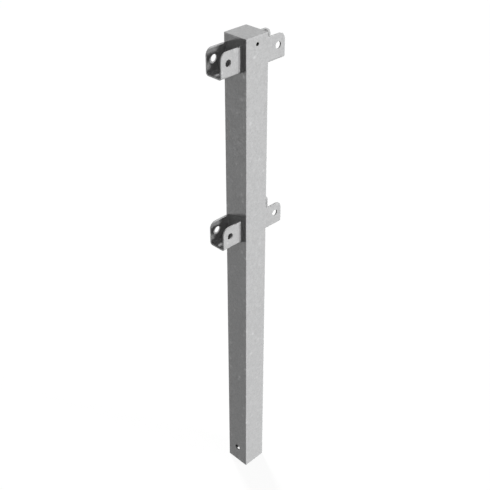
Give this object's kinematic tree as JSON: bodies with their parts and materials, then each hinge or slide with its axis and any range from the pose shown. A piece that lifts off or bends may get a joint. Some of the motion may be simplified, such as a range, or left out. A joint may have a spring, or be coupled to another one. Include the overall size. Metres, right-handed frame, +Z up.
{
  "type": "metal fence post",
  "caption": "Square galvanised steel fence post with a closed top and folded channel brackets on opposite faces that hold horizontal rails on cross bolts.",
  "frame": {"origin": "centre of the tube's open lower end", "axes": "+Z up along the tube, -Y out of the front face with the vent hole, brackets on the -X and +X faces"},
  "size_m": [0.2305, 0.08, 1.5],
  "materials": {
    "galvanised_steel": "hot-dip galvanised, matt grey with a fine mottle"
  },
  "bodies": {
    "root": {"post_tube": "galvanised_steel", "top_cap": "galvanised_steel", "bracket_upper_left": "galvanised_steel", "bracket_upper_right": "galvanised_steel", "bracket_lower_left": "galvanised_steel", "bracket_lower_right": "galvanised_steel"}
  },
  "joints": []
}
